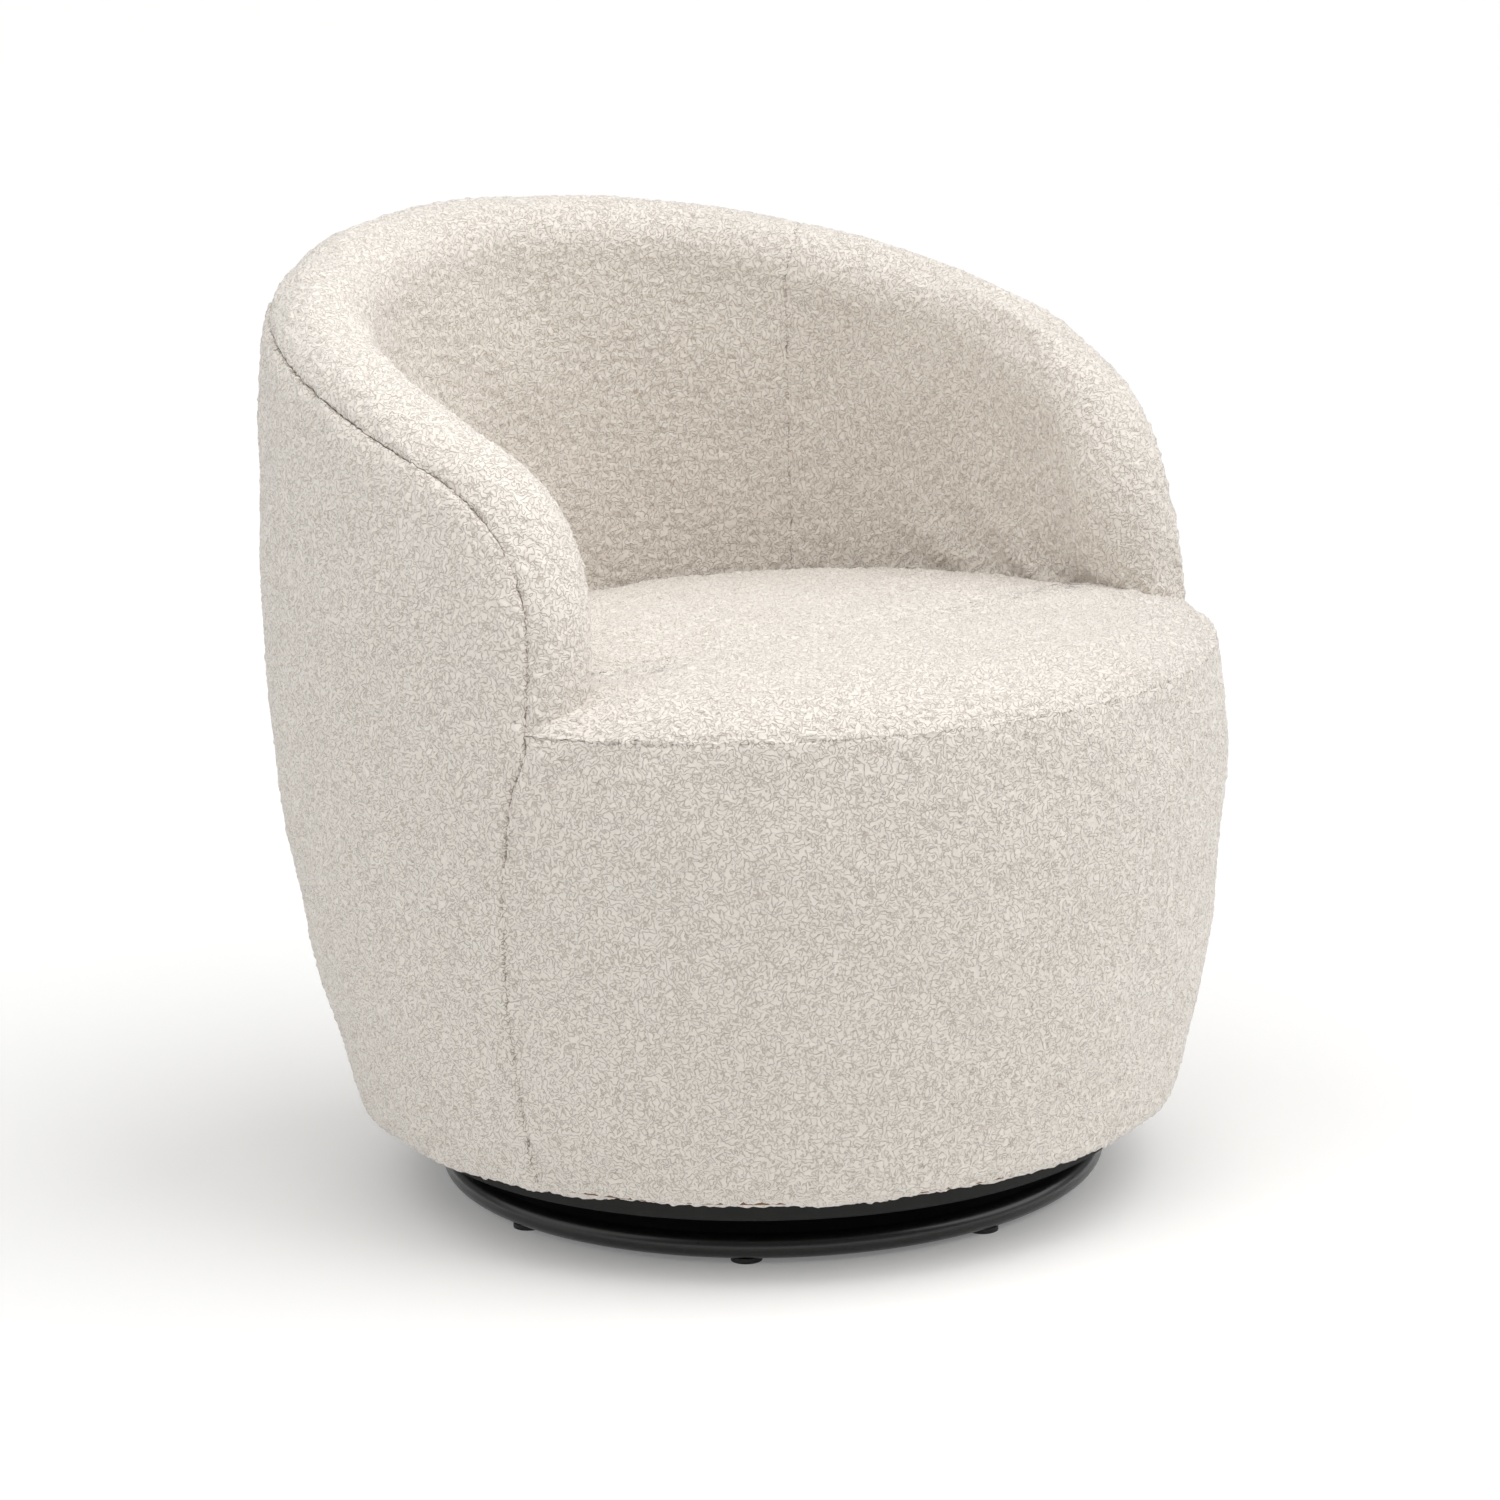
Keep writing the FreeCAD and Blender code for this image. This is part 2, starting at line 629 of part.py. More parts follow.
def seat_dome(low, inset):
    """The seat with the walls still in it: a rounded edge turned about the plan's centre, under a crown."""
    radius, shift = plan_circle(seat_seam)
    top = seat_apex - inset
    first = math.asin(max(low - top + shoulder_high, 0.0) / shoulder_high)
    edge = Part.BSplineCurve()
    edge.interpolate([FreeCAD.Vector(radius - inset - shoulder_wide * (1.0 - math.cos(a)), 0,
                                     top - shoulder_high * (1.0 - math.sin(a)))
                      for a in steps(first, math.pi / 2.0, 10)])
    start, end = edge.StartPoint, edge.EndPoint
    corners = [end, FreeCAD.Vector(0, 0, top), FreeCAD.Vector(0, 0, low), FreeCAD.Vector(start.x, 0, low)]
    if start.z > low:
        corners.append(start)
    wire = Part.Wire([edge.toShape()] + Part.makePolygon(corners).Edges)
    body = Part.Face(wire).revolve(FreeCAD.Vector(0, 0, 0), FreeCAD.Vector(0, 0, 1), 360)
    body.translate(FreeCAD.Vector(0, swivel_y + shift, 0))
    crown = Part.makeSphere(seat_crown)
    crown.rotate(FreeCAD.Vector(0, 0, 0), FreeCAD.Vector(1, 0, 0), 90)
    crown.translate(FreeCAD.Vector(0, swivel_y + seat_apex_y, top - crown_under - seat_crown))
    return body.common(crown)


def wall_room(room):
    """Space that the back, the arms and their rounded fronts take out of the seat."""
    low = wall_foot - 2
    high = seat_apex + 20
    inner = plan_disc(seat_seam, 2.0 * roll_radius + room, low, high)
    ring = plan_disc(seat_seam, -40.0, low, high).cut(inner)
    reach = 600.0
    edge = math.radians(arm_angle)
    fan = [FreeCAD.Vector(0, swivel_y, low)]
    fan += [FreeCAD.Vector(reach * math.sin(a), swivel_y + reach * math.cos(a), low)
            for a in steps(-edge, edge, 9)]
    sector = Part.Face(Part.makePolygon(fan + fan[:1])).extrude(FreeCAD.Vector(0, 0, high - low))
    shape = ring.common(sector)
    for side in (-1, 1):
        nose = place(side * edge, seat_seam, roll_radius)
        nose.z = low
        shape = shape.fuse(Part.makeCylinder(roll_radius + room, high - low, nose))
    return shape


seat_low = pad_low + panel + gap
room = wall_room(seat_room)
upper = seat_dome(wall_foot, cover + gap).cut(room)
seat_middle = (seat_low + wall_foot) / 2.0
lower = plan_disc(seat_middle, seat_foot_inset, seat_low, wall_foot)
save(upper.fuse(lower).removeSplitter(), "seat_foam")

# Covers -------------------------------------------------------------------------------------------
seam_reach = roll_radius * math.sin(math.radians(seam_angle))
cover_depths = (0.0, cover)
save(back_patch(seam_reach, wall_low, 0.4, cover_depths), "outside_back_cover")
save_pair(side_patch(seam_reach, wall_low, 0.4, cover_depths), "outside_arm_cover")
cover_start = seam_angle + 2.6
save(skin(*inside_patch(-back_k, back_k, cover_start, cover_depths, wall_foot)), "inside_back_cover")
save_pair(inside_patch(back_k + joint_k, 3.0, cover_start, cover_depths, wall_foot), "inside_arm_cover")
save(front_patch(wall_low, seat_seam - 0.5, 0.4, cover_depths), "front_cover")
seat_cover = seat_dome(seat_seam, 0.0).cut(seat_dome(wall_foot, cover)).cut(room)
save(seat_cover, "seat_cover")
save(at_axis(disc(board_radius - 6, body_bottom - 1.0, body_bottom - 0.2, plate_radius + 4)), "dust_cover")
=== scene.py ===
import math

import bpy
import numpy as np
from mathutils import Matrix, Vector


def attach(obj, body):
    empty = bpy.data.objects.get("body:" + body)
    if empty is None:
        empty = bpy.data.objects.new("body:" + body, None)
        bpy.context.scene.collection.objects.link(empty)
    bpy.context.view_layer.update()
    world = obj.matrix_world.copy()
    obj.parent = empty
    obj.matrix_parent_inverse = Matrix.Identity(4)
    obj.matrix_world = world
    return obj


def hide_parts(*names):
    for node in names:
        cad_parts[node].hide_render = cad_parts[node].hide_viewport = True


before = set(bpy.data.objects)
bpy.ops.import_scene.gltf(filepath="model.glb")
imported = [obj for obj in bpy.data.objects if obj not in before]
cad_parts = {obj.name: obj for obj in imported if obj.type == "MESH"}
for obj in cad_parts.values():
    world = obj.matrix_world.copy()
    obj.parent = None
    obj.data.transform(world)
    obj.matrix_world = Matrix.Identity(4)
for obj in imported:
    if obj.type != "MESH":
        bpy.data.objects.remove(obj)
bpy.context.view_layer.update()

# Studio -------------------------------------------------------------------------------------------
# A pale seamless floor under a wide overhead bank of light, with a stronger bank at the right, a
# weaker one at the left, a small softbox over the seat and a white surround. A long lens looks down
# on the chair from chest height.


def linear(hex_color):
    """An sRGB hex colour as the four linear numbers that a socket takes."""
    parts = [int(hex_color[i:i + 2], 16) / 255 for i in (1, 3, 5)]
    low = [c / 12.92 if c <= 0.04045 else ((c + 0.055) / 1.055) ** 2.4 for c in parts]
    return (*low, 1.0)


def add(tree, kind, settings=None, inputs=None, links=None):
    """Add one node to a tree, with its settings, its sockets' values and the outputs that feed it."""
    node = tree.nodes.new(kind)
    for name, value in (settings or {}).items():
        setattr(node, name, value)
    for name, value in (inputs or {}).items():
        node.inputs[name].default_value = value
    for name, source in (links or {}).items():
        tree.links.new(source, node.inputs[name])
    return node


def start_material(name):
    """A new material: its tree, its Principled shader and its Object coordinates."""
    material = bpy.data.materials.new(name)
    material.use_nodes = True
    tree = material.node_tree
    tree.nodes.clear()
    shader = add(tree, "ShaderNodeBsdfPrincipled")
    add(tree, "ShaderNodeOutputMaterial", links={"Surface": shader.outputs["BSDF"]})
    place = add(tree, "ShaderNodeTexCoord").outputs["Object"]
    return material, tree, shader, place


def new_mesh(name, points, quads, triangles=()):
    """A smooth-shaded object at the origin, from points in millimetres and its faces' corners."""
    quads = np.asarray(quads, np.int32).reshape(-1, 4)
    triangles = np.asarray(triangles, np.int32).reshape(-1, 3)
    corners = np.concatenate([quads.ravel(), triangles.ravel()])
    starts = np.concatenate([4 * np.arange(len(quads)), 4 * len(quads) + 3 * np.arange(len(triangles))])
    mesh = bpy.data.meshes.new(name)
    mesh.vertices.add(len(points))
    mesh.vertices.foreach_set("co", (np.asarray(points) / 1000.0).astype(np.float32).ravel())
    mesh.loops.add(len(corners))
    mesh.loops.foreach_set("vertex_index", corners.astype(np.int32))
    mesh.polygons.add(len(starts))
    mesh.polygons.foreach_set("loop_start", starts.astype(np.int32))
    mesh.update(calc_edges=True)
    mesh.shade_smooth()
    piece = bpy.data.objects.new(name, mesh)
    bpy.context.scene.collection.objects.link(piece)
    return piece


swivel_y = -19.0                # the swivel axis stands this far in front of the footprint's middle
scene = bpy.context.scene
scene.view_settings.view_transform = "Standard"

turn = math.radians(-39.81)
pitch = math.radians(12.914)
roll = math.radians(-1.285)
lens = bpy.data.cameras.new("camera")
lens.sensor_width = 36.0
lens.lens = 106.17
lens.clip_end = 100.0
camera = bpy.data.objects.new("camera", lens)
scene.collection.objects.link(camera)
camera.location = (-2.1855, -2.6046 + swivel_y / 1000, 1.1154)
facing = (Matrix.Rotation(turn, 3, "Z") @ Matrix.Rotation(math.pi / 2 - pitch, 3, "X")
          @ Matrix.Rotation(roll, 3, "Z"))
camera.rotation_euler = facing.to_euler()
scene.camera = camera

floor_half = 30000.0
corner = np.array([[-1, -1, 0], [1, -1, 0], [1, 1, 0], [-1, 1, 0]]) * floor_half
floor = new_mesh("floor", corner, [[0, 1, 2, 3]])
paper, tree, shader, place = start_material("seamless_paper")
shader.inputs["Base Color"].default_value = linear("#ececeb")
shader.inputs["Roughness"].default_value = 0.9
shader.inputs["Emission Color"].default_value = linear("#ffffff")
shader.inputs["Emission Strength"].default_value = 0.16
floor.data.materials.append(paper)

world = bpy.data.worlds.new("surround")
world.use_nodes = True
path = add(world.node_tree, "ShaderNodeLightPath")
fill = add(world.node_tree, "ShaderNodeMapRange", inputs={"To Min": 0.2, "To Max": 1.0},
           links={"Value": path.outputs["Is Camera Ray"]})
background = world.node_tree.nodes["Background"]
background.inputs["Color"].default_value = linear("#ffffff")
world.node_tree.links.new(fill.outputs["Result"], background.inputs["Strength"])
scene.world = world


def lamp(name, kind, settings, location, target):
    """A light that faces a point and isn't seen itself."""
    light = bpy.data.lights.new(name, kind)
    for setting, value in settings.items():
        setattr(light, setting, value)
    holder = bpy.data.objects.new(name, light)
    scene.collection.objects.link(holder)
    holder.location = location
    holder.rotation_euler = (Vector(target) - Vector(location)).to_track_quat("-Z", "Y").to_euler()
    holder.visible_camera = False


lamp("overhead_bank", "SUN", {"energy": 1.0, "angle": math.radians(90.0)}, (0.0, -0.3, 2.4), (0, 0, 0))
lamp("right_bank", "SUN", {"energy": 1.6, "angle": math.radians(70.0)}, (0.78, -0.62, 1.0), (0, 0, 0))
lamp("left_bank", "SUN", {"energy": 0.8, "angle": math.radians(70.0)}, (-0.87, 0.49, 0.85), (0, 0, 0))
lamp("seat_softbox", "AREA", {"energy": 3.6, "size": 0.7}, (-0.32, -0.42, 1.5), (0.0, 0.0, 0.5))


# Base ring and bars -------------------------------------------------------------------------------
# A steel ring with a half-round outer edge carries the chair, with one flat bar and two half bars
# welded across it. They and the bearing's plates are powder coated satin black, a thin baked skin
# with a faint orange peel.

def dress(material, *names):
    """Put one material in every slot of some CAD nodes."""
    for name in names:
        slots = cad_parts[name].data.materials
        slots.clear()
        slots.append(material)


def per_mm(size):
    """Texture scale, in repeats a metre, for a feature of a size in millimetres."""
    return 1000.0 / size


def roughen(tree, shader, vector, size, low, high, strength, depth_mm, detail=3.0):
    """One noise drives both the roughness, between two values, and a bump of a real depth. Gives the
    noise."""
    noise = add(tree, "ShaderNodeTexNoise", inputs={"Scale": per_mm(size), "Detail": detail},
                links={"Vector": vector})
    span = add(tree, "ShaderNodeMapRange", inputs={"To Min": low, "To Max": high},
               links={"Value": noise.outputs["Fac"]})
    bump = add(tree, "ShaderNodeBump", inputs={"Strength": strength, "Distance": depth_mm / 1000},
               links={"Height": noise.outputs["Fac"]})
    tree.links.new(span.outputs["Result"], shader.inputs["Roughness"])
    tree.links.new(bump.outputs["Normal"], shader.inputs["Normal"])
    return noise.outputs["Fac"]


def two_tone(tree, shader, factor, dark, light):
    """Base colour between two hex colours by a factor from 0.35 to 0.65, where noise mostly lies."""
    ramp = add(tree, "ShaderNodeValToRGB", links={"Fac": factor})
    ramp.color_ramp.elements[0].position = 0.35
    ramp.color_ramp.elements[0].color = linear(dark)
    ramp.color_ramp.elements[1].position = 0.65
    ramp.color_ramp.elements[1].color = linear(light)
    tree.links.new(ramp.outputs["Color"], shader.inputs["Base Color"])


powder_coat, tree, shader, place = start_material("black_powder_coat")
shader.inputs["Coat Weight"].default_value = 0.3
shader.inputs["Coat Roughness"].default_value = 0.2
fleck = roughen(tree, shader, place, size=2.2, low=0.24, high=0.36, strength=0.25, depth_mm=0.05)
two_tone(tree, shader, fleck, "#080808", "#121212")
dress(powder_coat, "base_ring", "base_long_bar", "base_half_bars", "swivel_lower_plate",
      "swivel_upper_plate")


# Glides -------------------------------------------------------------------------------------------
# Eight round buttons of moulded polyethylene pressed under the ring: matt, dark, a little scuffed.

glide_plastic, tree, shader, place = start_material("moulded_polyethylene")
fleck = roughen(tree, shader, place,
                size=1.4, low=0.45, high=0.65, strength=0.3, depth_mm=0.04, detail=5.0)
two_tone(tree, shader, fleck, "#141414", "#242424")
dress(glide_plastic, "floor_glides")


# Ball bearing -------------------------------------------------------------------------------------
# Twenty-four polished steel balls in a moulded nylon cage run between the two pressed plates, on a
# turned pin held by a spring clip. The pin, clip, bolts and spring clips are bright zinc plated.

ball_steel, tree, shader, place = start_material("polished_bearing_steel")
shader.inputs["Metallic"].default_value = 1.0
fleck = roughen(tree, shader, place, size=0.8, low=0.08, high=0.16, strength=0.1, depth_mm=0.005)
two_tone(tree, shader, fleck, "#b9bbbd", "#c8cacb")
dress(ball_steel, "bearing_balls")

cage_nylon, tree, shader, place = start_material("moulded_nylon")
shader.inputs["Subsurface Weight"].default_value = 0.15
shader.inputs["Subsurface Radius"].default_value = (0.002, 0.002, 0.0016)
fleck = roughen(tree, shader, place, size=1.8, low=0.38, high=0.5, strength=0.2, depth_mm=0.02)
two_tone(tree, shader, fleck, "#d6d2c2", "#e2dfd2")
dress(cage_nylon, "ball_cage")

zinc, tree, shader, place = start_material("zinc_plated_steel")
shader.inputs["Metallic"].default_value = 1.0
fleck = roughen(tree, shader, place, size=1.2, low=0.28, high=0.42, strength=0.2, depth_mm=0.01)
two_tone(tree, shader, fleck, "#a3a7aa", "#bcc0c2")
dress(zinc, "lower_plate_bolts", "upper_plate_bolts", "pivot_pin", "pivot_clip", "spring_clips")


# Wooden frame -------------------------------------------------------------------------------------
# Ribs, posts, rails and the ring under the springs are sawn and routed from raw poplar plywood, with
# open grain on the faces. The board under the body is coloured black, painted shade for the dark recess
# under the hem where its edge can be seen.

def plywood_of(name, low, high, dark, light):
    """Plywood with a roughness between two values and two colours, its grain drawn out in height."""
    material, tree, shader, place = start_material(name)
    stretch = add(tree, "ShaderNodeMapping", inputs={"Scale": (1.0, 1.0, 0.08)}, links={"Vector": place})
    grain = roughen(tree, shader, stretch.outputs["Vector"],
                    size=2.5, low=low, high=high, strength=0.4, depth_mm=0.15, detail=8.0)
    two_tone(tree, shader, grain, dark, light)
    return material


plywood = plywood_of("raw_poplar_plywood", 0.55, 0.75, "#b98f62", "#dcbf94")
wooden = [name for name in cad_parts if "_rib_" in name or "_rail" in name or "_post_" in name]
dress(plywood, "seat_ring", *wooden)

# Painted shade: the board's black stands in for the shade of the recess under the hem.
recess_shade_plywood = plywood_of("black_plywood_painted_shade", 0.6, 0.8, "#060606", "#0f0e0d")
dress(recess_shade_plywood, "base_board")


# Seat springs -------------------------------------------------------------------------------------
# Five sinuous springs of oil-tempered wire span the ring, with a needled felt pad laid over them.

spring_wire, tree, shader, place = start_material("oil_tempered_wire")
shader.inputs["Metallic"].default_value = 1.0
fleck = roughen(tree, shader, place, size=1.6, low=0.35, high=0.5, strength=0.2, depth_mm=0.02)
two_tone(tree, shader, fleck, "#2e2d2c", "#4a4845")
dress(spring_wire, *[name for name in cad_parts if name.startswith("seat_spring_")])

felt, tree, shader, place = start_material("needled_felt")
shader.inputs["Sheen Weight"].default_value = 0.2
fleck = roughen(tree, shader, place,
                size=1.1, low=0.85, high=0.95, strength=0.8, depth_mm=0.5, detail=6.0)
two_tone(tree, shader, fleck, "#6a6862", "#8b887f")
dress(felt, "spring_pad")


# Panels -------------------------------------------------------------------------------------------
# Bent hardboard closes the frame under the padding: brown pressed fibre, smooth on the show side.

hardboard, tree, shader, place = start_material("bent_hardboard")
fleck = roughen(tree, shader, place,
                size=0.9, low=0.5, high=0.7, strength=0.35, depth_mm=0.06, detail=6.0)
two_tone(tree, shader, fleck, "#6b4a31", "#8a6444")
panels = [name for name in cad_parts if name.startswith("outer_panel_")]
dress(hardboard, "front_panel_board", "inner_panel", *panels)


# Dust cover ---------------------------------------------------------------------------------------
# A disc of black spun-bonded cloth stapled under the board: flat fibres welded in small points.

dust_cloth, tree, shader, place = start_material("spun_bonded_cloth")
points = add(tree, "ShaderNodeTexVoronoi", inputs={"Scale": per_mm(1.3)}, links={"Vector": place})
bump = add(tree, "ShaderNodeBump", inputs={"Strength": 0.6, "Distance": 0.0002},
           links={"Height": points.outputs["Distance"]})
tree.links.new(bump.outputs["Normal"], shader.inputs["Normal"])
two_tone(tree, shader, points.outputs["Distance"], "#0d0d0e", "#1b1b1c")
shader.inputs["Roughness"].default_value = 0.85
dress(dust_cloth, "dust_cover")


# Inside back --------------------------------------------------------------------------------------
# One panel of boucle over foam, sewn to the outside along the crest's outer side, pulled over the
# rolled edge and down the hollow of the back to behind the seat. All sizes are in millimetres.

# The body's profile: the radius at its fullest height, how far it tucks in towards the floor and by
# which power. The front also leans back above its fullest height.
body_bottom, hem_round = 59.0, 18.0     # the hem stops 15 mm above the body's underside
back_reach, back_fullest, back_tuck, back_power = 400.0, 620.0, 74.0, 2.6
front_reach, front_fullest, front_tuck, front_power = 362.0, 340.0, 34.0, 1.9
front_lean, lean_height, lean_power, tuck_level = 44.0, 260.0, 1.5, 72.0
roll_radius = 44.0              # radius of the rolled edge, half of the wall's thickness
crest_height, crest_drop, crest_power = 747.0, 146.0, 1.75
arm_angle, bend_radius, unroll_radius = 108.3, 110.0, 325.0
crest_run = math.radians(108.0) * unroll_radius     # the crest drops by crest_drop over this length
roll_seam = math.radians(28.0)  # the roll's seam, up from the wall's outer side
back_seam_angle = math.radians(45.0)
back_seam = back_seam_angle * unroll_radius
wall_foot = 400.0               # the inside panels end here, behind the seat
seam_room = 0.03                # each panel stands this far back from its seam
swell_most = 4.0                # the wadding may lift the cloth this much
wall_start = 5.0                # depth at which a panel's edge is out of sight in its seam
fine, coarse = 1.95, 8          # spacing of the cloth's points, and how many share one coarse step


def barrel(phi, z):
    """Body's radius about the swivel axis, phi from the back: two power-law profiles, back and front,
    blended by the cosine of phi, less a quarter round at the hem."""
    low = np.maximum(back_fullest - z, 0.0) / (back_fullest - tuck_level)
    back = back_reach - back_tuck * low ** back_power
    low = np.maximum(front_fullest - z, 0.0) / (front_fullest - tuck_level)
    high = np.maximum(z - front_fullest, 0.0) / lean_height
    front = front_reach - front_tuck * low ** front_power - front_lean * high ** lean_power
    share = (1.0 + np.cos(phi)) / 2.0
    rise = np.clip(body_bottom + hem_round - z, 0.0, hem_round)
    return share * back + (1.0 - share) * front - hem_round + np.sqrt(hem_round ** 2 - rise ** 2)


def place_at(phi, z, inset):
    """Points at an angle from the back and a height, inset from the body's outer surface."""
    r = barrel(phi, z) - inset
    return np.stack([r * np.sin(phi), r * np.cos(phi) + swivel_y, z + 0.0 * r], -1)


def crest(u):
    """Height of the roll's centre line: it falls by a power of the unrolled distance u."""
    return crest_height - roll_radius - crest_drop * (np.abs(u) / crest_run) ** crest_power


def crest_slope(u):
    """Angle at which the crest falls at u, from the same power law."""
    steepness = crest_drop * crest_power * (np.abs(u) / crest_run) ** (crest_power - 1.0) / crest_run
    return np.arctan(steepness)


arm_end = math.radians(arm_angle) * unroll_radius
bend_start = arm_end - 0.6 * bend_radius
for attempt in range(20):
    bend_start = float(arm_end - bend_radius + bend_radius * np.sin(crest_slope(bend_start)))
bend_slope = float(crest_slope(bend_start))
bend_z = float(crest(bend_start) - bend_radius * math.cos(bend_slope))


def rim(k):
    """Roll's centre line in the unrolled wall: k 0-1 along the crest, 1-2 round an arc, 2-3 straight
    down the arm's front. Gives u, z and the outward normal."""
    a = bend_slope + np.clip(k - 1.0, 0.0, 1.0) * (math.pi / 2 - bend_slope)
    along = np.minimum(k, 1.0) * bend_start
    slope = crest_slope(along)
    u = np.where(k <= 1.0, along, arm_end - bend_radius + bend_radius * np.sin(a))
    z = np.where(k <= 1.0, crest(along), bend_z + bend_radius * np.cos(a))
    z = np.where(k > 2.0, bend_z + (k - 2.0) * (wall_foot - bend_z), z)
    out_u = np.where(k <= 1.0, np.sin(slope), np.sin(a))
    out_z = np.where(k <= 1.0, np.cos(slope), np.cos(a))
    return u, z, out_u, out_z


rim_k = np.linspace(0.0, 3.0, 1201)     # short steps along the rim, to measure it


def rim_length(k):
    """Length of the roll's centre line up to k, added up from short steps."""
    u, z = rim(rim_k)[:2]
    return np.interp(k, rim_k, np.concatenate([[0.0], np.cumsum(np.hypot(np.diff(u), np.diff(z)))]))


def inside_surface(k, w, foot_start, foot_end):
    """Inside panel: w runs by length over the roll's arc, then straight to the foot, whose places are
    spread evenly over the rim's length."""
    u, z, out_u, out_z = rim(np.abs(k))
    whole = rim_length(3.0) - rim_length(foot_start / bend_start)
    passed = rim_length(np.abs(k)) - rim_length(foot_start / bend_start)
    foot_u = np.where(np.abs(k) * bend_start <= foot_start, np.abs(k) * bend_start,
                      foot_start + np.maximum(passed, 0.0) / whole * (foot_end - foot_start))
    start = roll_seam + seam_room / roll_radius
    arc = roll_radius * (math.pi - start)
    fall = np.hypot(foot_u - u, wall_foot - z)
    length = w * (arc + fall)
    theta = start + np.minimum(length, arc) / roll_radius
    v = np.maximum(length - arc, 0.0) / fall
    reach = roll_radius * np.sin(theta) * (length < arc)
    phi = np.sign(k) * (u + reach * out_u + v * (foot_u - u)) / unroll_radius
    inset = roll_radius - roll_radius * np.cos(theta)
    return place_at(phi, z + reach * out_z + v * (wall_foot - z), inset)


def spread(length):
    """Places across a panel as shares of its length: even, but closer at both edges, 8n + 1 of them."""
    edge = np.array([0.0, 0.35, 1.1, 2.2, 3.6])
    count = coarse * math.ceil(length / fine / coarse) + 1 - 2 * len(edge)
    middle = np.linspace(edge[-1], length - edge[-1], count + 2)[1:-1]
    return np.concatenate([edge, middle, length - edge[::-1]]) / length


def normals(points):
    """Unit normals of a grid of points: the cross product of its two directions."""
    across = np.cross(np.gradient(points, axis=0), np.gradient(points, axis=1))
    return across / np.maximum(np.linalg.norm(across, axis=-1, keepdims=True), 1e-9)


def grid_quads(rows, columns, first=0):
    """Corners of a grid's faces."""
    index = first + np.arange(rows * columns).reshape(rows, columns)
    return np.stack([index[:-1, :-1], index[1:, :-1], index[1:, 1:], index[:-1, 1:]], -1).reshape(-1, 4)


def border(rows, columns, first=0):
    """A grid's border points in one round."""
    index = first + np.arange(rows * columns).reshape(rows, columns)
    return np.concatenate([index[:-1, 0], index[-1, :-1], index[:0:-1, -1], index[0, :0:-1]])


def waves(points, length, count, seed):
    """Smooth random field: cosines of one wavelength in random directions, scaled to a spread of
    about 1."""
    random = np.random.default_rng(seed)
    total = np.zeros(points.shape[:-1])
    for n in range(count):
        direction = random.normal(size=3)
        direction *= 2.0 * math.pi / length / np.linalg.norm(direction)
        total += np.cos(points @ direction + random.uniform(0.0, 2.0 * math.pi))
    return total * math.sqrt(2.0 / count)


def cubic_steps(count):
    """Matrix that carries values at every eighth point to all points, by cubics through four
    neighbours."""
    last = (count - 1) // coarse
    t = np.arange(count) / coarse
    cell = np.minimum(t.astype(int), last - 1)
    f = t - cell
    shares = [(-f + 2 * f ** 2 - f ** 3) / 2, (2 - 5 * f ** 2 + 3 * f ** 3) / 2,
              (f + 4 * f ** 2 - 3 * f ** 3) / 2, (f ** 3 - f ** 2) / 2]
    matrix = np.zeros((count, last + 1))
    for step, share in zip((-1, 0, 1, 2), shares):
        np.add.at(matrix, (np.arange(count), np.clip(cell + step, 0, last)), share)
    return matrix


# A light, fairly stiff cloth. The air's pressure is what lifts it.
cloth_settings = {"quality": 5, "mass": 0.3, "tension_stiffness": 20.0, "compression_stiffness": 8.0,
                  "shear_stiffness": 4.0, "bending_stiffness": 0.6, "use_pressure": True,
                  "uniform_pressure_force": 4.0, "vertex_group_mass": "pins"}
cloth_steps = 20


def swell(front, back):
    """Cloth simulation of a coarse pad: air presses its front out while its seams and back are held.
    Gives how far each front point moved."""
    rows, columns = front.shape[:2]
    count = rows * columns
    edge, inner = border(rows, columns), border(rows, columns, count)
    wall = np.stack([np.roll(edge, -1), edge, inner, np.roll(inner, -1)], -1)
    quads = np.concatenate([grid_quads(rows, columns), wall, grid_quads(rows, columns, count)[:, ::-1]])
    pad = new_mesh("swelling", np.concatenate([front.reshape(-1, 3), back.reshape(-1, 3)]), quads)
    pins = pad.vertex_groups.new(name="pins")
    pins.add([int(n) for n in edge] + list(range(count, 2 * count)), 1.0, "REPLACE")
    cloth = pad.modifiers.new("cloth", "CLOTH")
    for setting, value in cloth_settings.items():
        setattr(cloth.settings, setting, value)
    cloth.settings.effector_weights.gravity = 0.0
    cloth.point_cache.frame_start, cloth.point_cache.frame_end = 1, cloth_steps
    for step in range(1, cloth_steps + 1):
        scene.frame_set(step)
    swollen = pad.evaluated_get(bpy.context.evaluated_depsgraph_get()).to_mesh()
    moved = np.empty(2 * count * 3, np.float32)
    swollen.vertices.foreach_get("co", moved)
    moved = moved.reshape(-1, 3)[:count].reshape(rows, columns, 3) * 1000.0 - front
    bpy.data.objects.remove(pad)
    scene.frame_set(1)
    length = np.linalg.norm(moved, axis=-1, keepdims=True)
    return moved * np.minimum(1.0, swell_most / np.maximum(length, 1e-6))


# The fold where the seat meets an arm's rounded front: its heights on the inner and outer side, its
# size, the angles between which its height falls, and how it fades round the arm and away from it.
fold_inner, fold_outer = 440.0, 402.0
fold_depth, fold_width, fold_axis_level = 9.0, 12.0, 430.0
fold_first, fold_span = 40.0, 140.0
fold_facing, facing_fade = 0.75, 0.6
fold_reach, reach_fade = 80.0, 25.0


